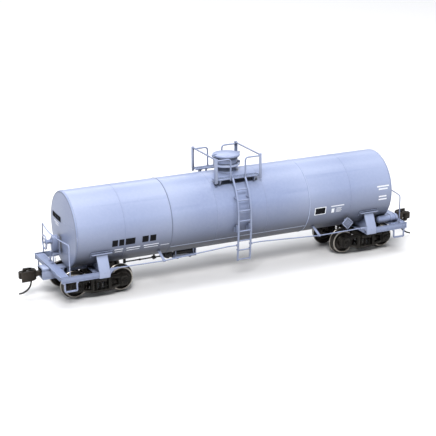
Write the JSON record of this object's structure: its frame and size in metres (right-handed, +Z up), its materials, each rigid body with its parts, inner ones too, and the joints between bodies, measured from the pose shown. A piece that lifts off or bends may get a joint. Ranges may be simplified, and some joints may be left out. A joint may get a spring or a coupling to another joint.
{
  "type": "model tank wagon",
  "caption": "Scale-model railway tank wagon on two swivelling four-wheel trucks, with swinging couplers, centre ladders, a railed top walkway, end platforms and brake gear.",
  "frame": {"origin": "middle of the wagon at the foot of the wheel flanges", "axes": "+X along the wagon away from the brake-wheel end, +Y to the far side of the wagon, +Z up"},
  "size_m": [0.191, 0.0372, 0.0531],
  "materials": {
    "body_paint": "satin lavender grey paint",
    "underframe_black": "matt black",
    "truck_plastic": "matt engineering plastic",
    "wheel_metal": "blackened metal with bright tread",
    "axle_black": "matt black",
    "coupler_metal": "dark brown blackened casting",
    "pin_steel": "dull steel",
    "screw_steel": "plain steel",
    "ballast_steel": "raw steel bar"
  },
  "bodies": {
    "wagon": {"tank_barrel": "body_paint", "tank_end_b": "body_paint", "tank_end_a": "body_paint", "tank_belly_plate": "body_paint", "ballast_weight": "ballast_steel", "draft_sill_b": "body_paint", "draft_sill_a": "body_paint", "end_platform_b": "body_paint", "end_platform_a": "body_paint", "bolster_b": "body_paint", "bolster_a": "body_paint", "coupler_box_lids": "body_paint", "coupler_box_screws": "screw_steel", "truck_screws": "screw_steel", "manway_neck": "body_paint", "manway_lid": "body_paint", "manway_bolts": "body_paint", "walkway_near": "body_paint", "walkway_far": "body_paint", "walkway_brackets": "body_paint", "guard_posts": "body_paint", "guard_end_rails": "body_paint", "guard_side_rails": "body_paint", "ladder_near": "body_paint", "ladder_far": "body_paint", "ladder_standoffs": "body_paint", "handrail_near": "body_paint", "handrail_far": "body_paint", "handrail_stanchions": "body_paint", "stirrup_steps": "body_paint", "end_rail_b": "body_paint", "end_rail_a": "body_paint", "brake_stand": "body_paint", "brake_housing": "body_paint", "brake_wheel": "body_paint", "brake_cylinder": "underframe_black", "control_valve": "underframe_black", "brake_tray": "body_paint", "brake_rod": "underframe_black", "air_reservoir": "body_paint", "reservoir_straps": "body_paint", "placard_holders": "body_paint"},
    "truck_b": {"truck_frame_b": "truck_plastic"},
    "truck_a": {"truck_frame_a": "truck_plastic"},
    "wheelset_1": {"wheels_1": "wheel_metal", "axle_1": "axle_black"},
    "wheelset_2": {"wheels_2": "wheel_metal", "axle_2": "axle_black"},
    "wheelset_3": {"wheels_3": "wheel_metal", "axle_3": "axle_black"},
    "wheelset_4": {"wheels_4": "wheel_metal", "axle_4": "axle_black"},
    "coupler_b": {"coupler_b": "coupler_metal", "knuckle_rivet_b": "coupler_metal", "trip_pin_b": "pin_steel"},
    "coupler_a": {"coupler_a": "coupler_metal", "knuckle_rivet_a": "coupler_metal", "trip_pin_a": "pin_steel"},
    "knuckle_b": {"knuckle_b": "coupler_metal"},
    "knuckle_a": {"knuckle_a": "coupler_metal"}
  },
  "joints": [
    {"name": "truck_b_swivel", "type": "hinge", "parent": "wagon", "child": "truck_b", "pos_m": [-0.0642, 0, 0.0083], "axis": [0, 0, 1], "range_deg": [-10, 10]},
    {"name": "truck_a_swivel", "type": "hinge", "parent": "wagon", "child": "truck_a", "pos_m": [0.0642, 0, 0.0083], "axis": [0, 0, 1], "range_deg": [-10, 10]},
    {"name": "wheelset_1_spin", "type": "hinge", "parent": "truck_b", "child": "wheelset_1", "pos_m": [-0.0744, 0, 0.0059], "axis": [0, 1, 0], "continuous": true},
    {"name": "wheelset_2_spin", "type": "hinge", "parent": "truck_b", "child": "wheelset_2", "pos_m": [-0.054, 0, 0.0059], "axis": [0, 1, 0], "continuous": true},
    {"name": "wheelset_3_spin", "type": "hinge", "parent": "truck_a", "child": "wheelset_3", "pos_m": [0.054, 0, 0.0059], "axis": [0, 1, 0], "continuous": true},
    {"name": "wheelset_4_spin", "type": "hinge", "parent": "truck_a", "child": "wheelset_4", "pos_m": [0.0744, 0, 0.0059], "axis": [0, 1, 0], "continuous": true},
    {"name": "coupler_b_swing", "type": "hinge", "parent": "wagon", "child": "coupler_b", "pos_m": [-0.0792, 0, 0.0105], "axis": [0, 0, 1], "range_deg": [-8, 8], "stiffness_Nm_per_rad": 0.0005},
    {"name": "coupler_a_swing", "type": "hinge", "parent": "wagon", "child": "coupler_a", "pos_m": [0.0792, 0, 0.0105], "axis": [0, 0, 1], "range_deg": [-8, 8], "stiffness_Nm_per_rad": 0.0005},
    {"name": "knuckle_b_open", "type": "hinge", "parent": "coupler_b", "child": "knuckle_b", "pos_m": [-0.0925, 0.00175, 0.0105], "axis": [0, 0, 1], "range_deg": [-22, 0], "stiffness_Nm_per_rad": 0.0002},
    {"name": "knuckle_a_open", "type": "hinge", "parent": "coupler_a", "child": "knuckle_a", "pos_m": [0.0925, -0.00175, 0.0105], "axis": [0, 0, 1], "range_deg": [-22, 0], "stiffness_Nm_per_rad": 0.0002}
  ]
}
